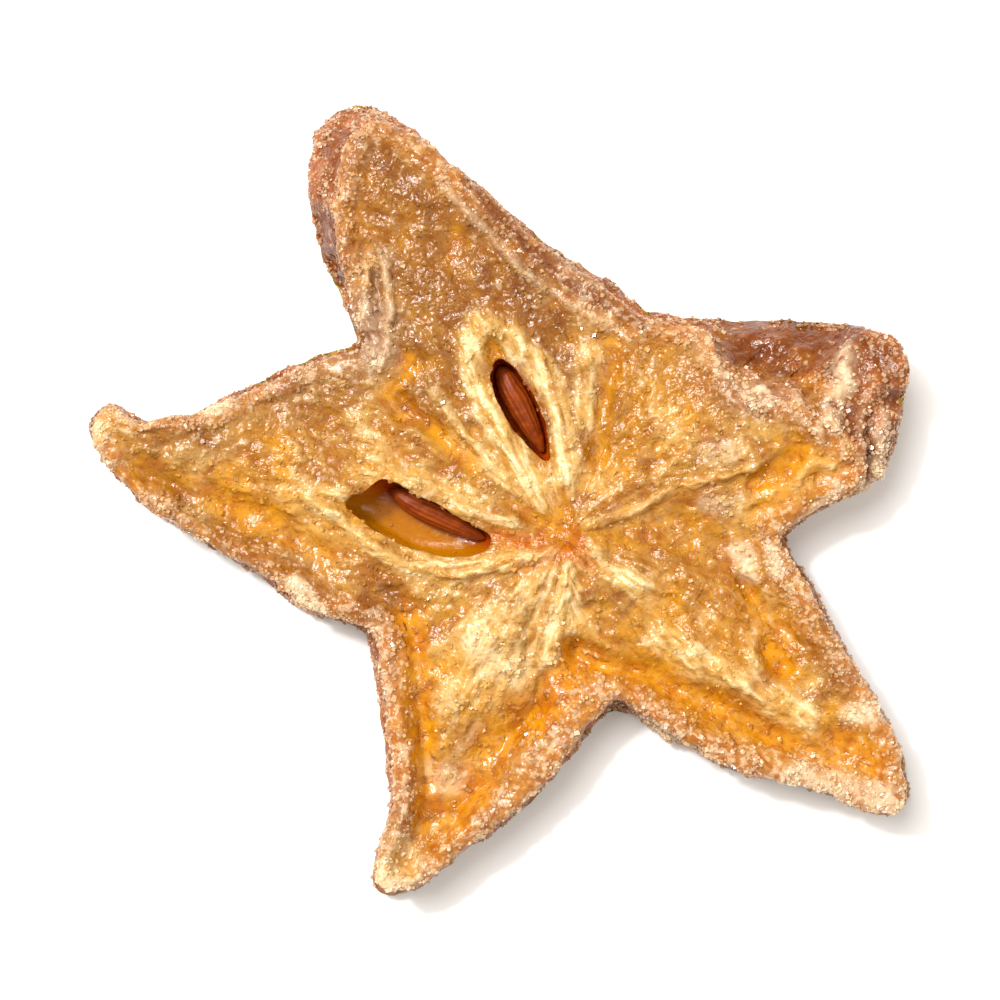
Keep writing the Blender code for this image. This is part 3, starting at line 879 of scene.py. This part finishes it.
class FRUIT_OT_slice(bpy.types.Operator):
    """Models the flesh and skin of the slice"""

    bl_idname = "fruit.slice"
    bl_label = "Slice"

    def execute(self, context):
        settings = context.scene.slice_settings
        deselect_all()
        outline = edge_outline()
        inset = settings.rim_inset / MM + swell(outline, SKIN_TURNED_UP)
        rim_curve = outline * (1.0 - inset / np.linalg.norm(outline, axis=1))[:, None]
        piece = blank_slice(outline, rim_curve)
        cut(piece, cell_tool(UPPER_CELL, settings.cell_floor / MM))
        cut(piece, cell_tool(LEFT_CELL, settings.cell_floor / MM))
        sculpt(piece.data, settings, outline, rim_curve)
        piece.data.shade_smooth()
        piece.data.materials.append(flesh_material(settings))
        keep(piece, "flesh_and_skin", "dried_flesh", "fruit_slice")
        return {"FINISHED"}


def seed(node_name, name, direction, shift, settings, finish):
    """A flat seed, round at one end and pointed at the other, with grooves along its coat."""
    low, high = (np.array(corner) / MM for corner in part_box(node_name))
    middle = (low + high) / 2.0 + (*shift, 0.0)
    deselect_all()
    bpy.ops.mesh.primitive_uv_sphere_add(segments=96, ring_count=64, radius=1.0)
    piece = bpy.context.object
    co = coordinates(piece.data)
    along, across, up = co[:, 2], co[:, 0], co[:, 1]
    half_length = np.hypot(*(high - low)[:2]) / 2.0
    turn = math.radians(direction)
    narrowing = 1.0 - 0.45 * (along + 1.0) / 2.0
    wavering = 2.2 * rough(co, 0.9, 2, 4.0)
    wave = np.sin(np.arctan2(up, across) * 15.0 + wavering) * (1.0 - along**2)
    groove = settings.groove / MM * wave
    x = along * half_length
    y = across * 1.1 * narrowing * (1.0 + groove)
    z = up * narrowing * (1.0 + groove)
    placed = np.stack([
        middle[0] + x * math.cos(turn) - y * math.sin(turn),
        middle[1] + x * math.sin(turn) + y * math.cos(turn),
        middle[2] + z,
    ], axis=1)
    placed += 0.06 * rough(placed, 0.9, 3, 2.0)[:, None] * coordinates(piece.data, "normal")
    set_coordinates(piece.data, placed * MM)
    store(piece.data, "groove", np.clip(-wave, 0.0, 1.0))
    piece.data.shade_smooth()
    piece.data.materials.append(finish)
    keep(piece, name, "seed_coat", node_name)


class FRUIT_OT_seeds(bpy.types.Operator):
    """Models the seeds in the open cells"""

    bl_idname = "fruit.seeds"
    bl_label = "Seeds"

    def execute(self, context):
        settings = context.scene.seed_settings
        finish = seed_material(settings)
        seed("seed_upper", "upper_seed", -63.0, (0.0, 0.0), settings, finish)
        seed("seed_left", "left_seed", -27.0, (0.35, 0.55), settings, finish)
        return {"FINISHED"}


def surface_of(mesh):
    """The triangles of a mesh: the places and normals of their corners, areas, slopes and masks, in mm."""
    mesh.calc_loop_triangles()
    corners = np.empty(len(mesh.loop_triangles) * 3, int)
    mesh.loop_triangles.foreach_get("vertices", corners)
    corners = corners.reshape(-1, 3)
    places = (coordinates(mesh) / MM)[corners]
    cross = np.cross(places[:, 1] - places[:, 0], places[:, 2] - places[:, 0])
    area = np.linalg.norm(cross, axis=1) / 2.0
    values = {}
    for name in MASKS:
        numbers = np.empty(len(mesh.vertices), np.float32)
        mesh.attributes[name].data.foreach_get("value", numbers)
        values[name] = numbers[corners].mean(axis=1)
    fibres = np.empty(len(mesh.vertices) * 3, np.float32)
    mesh.attributes["fibre"].data.foreach_get("vector", fibres)
    values["fibre"] = fibres.reshape(-1, 3)[corners].mean(axis=1)
    upward = cross[:, 2] / np.maximum(area * 2.0, 1e-9)
    return places, coordinates(mesh, "normal")[corners], area, upward, values


def grains(name, places, normals, widths, values, finish, generator):
    """Many small blocky crystals in one mesh, each set askew and sunk a little in the surface."""
    count = len(places)
    cube = np.array([(x, y, z) for x in (-1, 1) for y in (-1, 1) for z in (-1, 1)], float)
    sides = np.array([(0, 1, 3, 2), (4, 6, 7, 5), (0, 4, 5, 1), (2, 3, 7, 6), (0, 2, 6, 4), (1, 5, 7, 3)])
    shapes = cube[None] * generator.uniform(0.5, 1.0, (count, 1, 3))
    shapes = shapes * generator.uniform(0.7, 1.1, (count, 8, 3))
    turns = np.linalg.qr(generator.normal(size=(count, 3, 3)))[0]
    turns *= np.sign(np.linalg.det(turns))[:, None, None]
    corners = np.einsum("nij,nkj->nki", turns, shapes) * widths[:, None, None] / 2.0
    corners += (places - normals * widths[:, None] * 0.05)[:, None, :]
    mesh = bpy.data.meshes.new(name)
    polygons = (np.arange(count)[:, None, None] * 8 + sides[None]).reshape(-1, 4)
    mesh.from_pydata((corners.reshape(-1, 3) * MM).tolist(), [], polygons.tolist())
    for mask_name, numbers in values.items():
        if mask_name == "fibre":
            vector = mesh.attributes.new("fibre", "FLOAT_VECTOR", "POINT")
            vector.data.foreach_set("vector", np.repeat(numbers, 8, axis=0).reshape(-1))
        else:
            store(mesh, mask_name, np.repeat(numbers, 8))
    piece = bpy.data.objects.new(name, mesh)
    bpy.context.scene.collection.objects.link(piece)
    mesh.materials.append(finish)
    keep(piece, name, "dried_flesh")


class FRUIT_OT_sugar(bpy.types.Operator):
    """Scatters the sugar that has crystallised on the slice"""

    bl_idname = "fruit.sugar"
    bl_label = "Sugar"

    def execute(self, context):
        sizes = context.scene.sugar_settings
        generator = np.random.RandomState(5)
        flesh = bpy.data.objects["flesh_and_skin"].data
        places, normals, area, upward, values = surface_of(flesh)
        patchy = rough(places.mean(axis=1), 1.6, 2, 70.0)
        edge = np.maximum(values["rim"], values["skin"])
        density = (0.5 + 1.2 * edge + 2.5 * values["frost_and_glint"]) * np.clip(0.8 + 1.6 * patchy, 0.1, 3.0)
        for name, share in (("amber", 0.85), ("lining", 0.9), ("russet_and_shade", 0.95)):
            density *= 1.0 - share * values[name]
        finish = sugar_material(context.scene.slice_settings)
        above = upward > -0.1
        for name, chosen, number in (
            ("sugar_on_face", above & (edge < 0.5), sizes.on_face),
            ("sugar_on_rims", above & (edge >= 0.5), sizes.on_rims),
            ("sugar_below", ~above, sizes.below),
        ):
            weight = np.where(chosen, area * density, 0.0)
            picked = generator.choice(len(area), number, p=weight / weight.sum())
            share = generator.dirichlet((1.0, 1.0, 1.0), number)[:, :, None]
            spots = (places[picked] * share).sum(axis=1)
            facing = (normals[picked] * share).sum(axis=1)
            widths = sizes.width / MM * np.minimum(generator.lognormal(0.0, 0.4, number), 1.8)
            own = {mask_name: numbers[picked] for mask_name, numbers in values.items()}
            tint = 0.04 + 0.24 * edge[picked] * (1.0 - 0.8 * own["russet_and_shade"]) * (1.0 - 0.5 * own["brown_and_shade"])
            tint += 0.5 * own["frost_and_glint"] + generator.gamma(1.0, 0.10, number)
            own["tint"] = np.clip(tint, 0.0, 1.0)
            # Grains that would reach the floor are left out.
            clear = spots[:, 2] > 0.2
            own = {mask_name: numbers[clear] for mask_name, numbers in own.items()}
            grains(name, spots[clear], facing[clear], widths[clear], own, finish, generator)
        return {"FINISHED"}


class FRUIT_OT_stage(bpy.types.Operator):
    """Sets up the floor, the lights and the camera"""

    bl_idname = "fruit.stage"
    bl_label = "Stage"

    def execute(self, context):
        settings = context.scene.stage_settings
        scene = context.scene
        scene.view_settings.view_transform = "Standard"
        low, high = (Vector(corner) for corner in CAD_BOX)
        middle = (low + high) / 2.0
        deselect_all()
        bpy.ops.mesh.primitive_plane_add(size=6.0)
        floor = context.object
        floor.name = "floor"
        paper, _, shader = new_material("White paper")
        shader.inputs["Base Color"].default_value = painted(settings.paper)
        shader.inputs["Roughness"].default_value = 0.9
        floor.data.materials.append(paper)
        world = bpy.data.worlds.new("White room")
        world.use_nodes = True
        world.node_tree.nodes["Background"].inputs["Color"].default_value = painted(settings.room)
        world.node_tree.nodes["Background"].inputs["Strength"].default_value = settings.room_light
        scene.world = world
        for name, place, size, power in (
            ("key", Vector((-0.20, 0.24, 0.48)), 0.42, settings.key_power),
            ("spark", Vector((-0.24, 0.20, 0.46)), 0.06, settings.spark_power),
            ("fill", Vector((0.35, -0.10, 0.40)), 0.40, settings.fill_power),
        ):
            bpy.ops.object.light_add(type="AREA", location=place)
            lamp = context.object
            lamp.name = name
            lamp.data.shape = "DISK"
            lamp.data.size = size
            lamp.data.energy = power
            lamp.rotation_euler = (middle - place).to_track_quat("-Z", "Y").to_euler()
        bpy.ops.object.camera_add(rotation=(0.0, 0.0, 0.0))
        camera = context.object
        camera.data.lens = settings.lens
        away = settings.view_width * settings.lens / camera.data.sensor_width
        camera.location = middle + Vector((0.0, 0.0, away))
        camera.data.clip_start = 0.01
        scene.camera = camera
        return {"FINISHED"}


class FRUIT_PT_panel(bpy.types.Panel):
    """Lists the pieces of the slice"""

    bl_label = "Dried star fruit"
    bl_space_type = "VIEW_3D"
    bl_region_type = "UI"
    bl_category = "Fruit"

    def draw(self, context):
        for operator in OPERATORS:
            self.layout.operator(operator.bl_idname)
        for group in GROUPS:
            settings = getattr(context.scene, group)
            for name in settings.__annotations__:
                self.layout.prop(settings, name)


GROUPS = {
    "slice_settings": SliceSettings,
    "seed_settings": SeedSettings,
    "sugar_settings": SugarSettings,
    "stage_settings": StageSettings,
}
OPERATORS = (FRUIT_OT_slice, FRUIT_OT_seeds, FRUIT_OT_sugar, FRUIT_OT_stage)


def register():
    """Adds the classes and the settings to Blender."""
    for made in (*GROUPS.values(), *OPERATORS, FRUIT_PT_panel):
        bpy.utils.register_class(made)
    for name, group in GROUPS.items():
        setattr(bpy.types.Scene, name, PointerProperty(type=group))


def unregister():
    """Takes them away again."""
    for name in GROUPS:
        delattr(bpy.types.Scene, name)
    for made in (FRUIT_PT_panel, *reversed(OPERATORS), *reversed(GROUPS.values())):
        bpy.utils.unregister_class(made)


def main():
    """Builds the slice and its stage."""
    register()
    bpy.ops.fruit.slice()
    bpy.ops.fruit.seeds()
    bpy.ops.fruit.sugar()
    bpy.ops.fruit.stage()


if __name__ == "__main__":
    main()
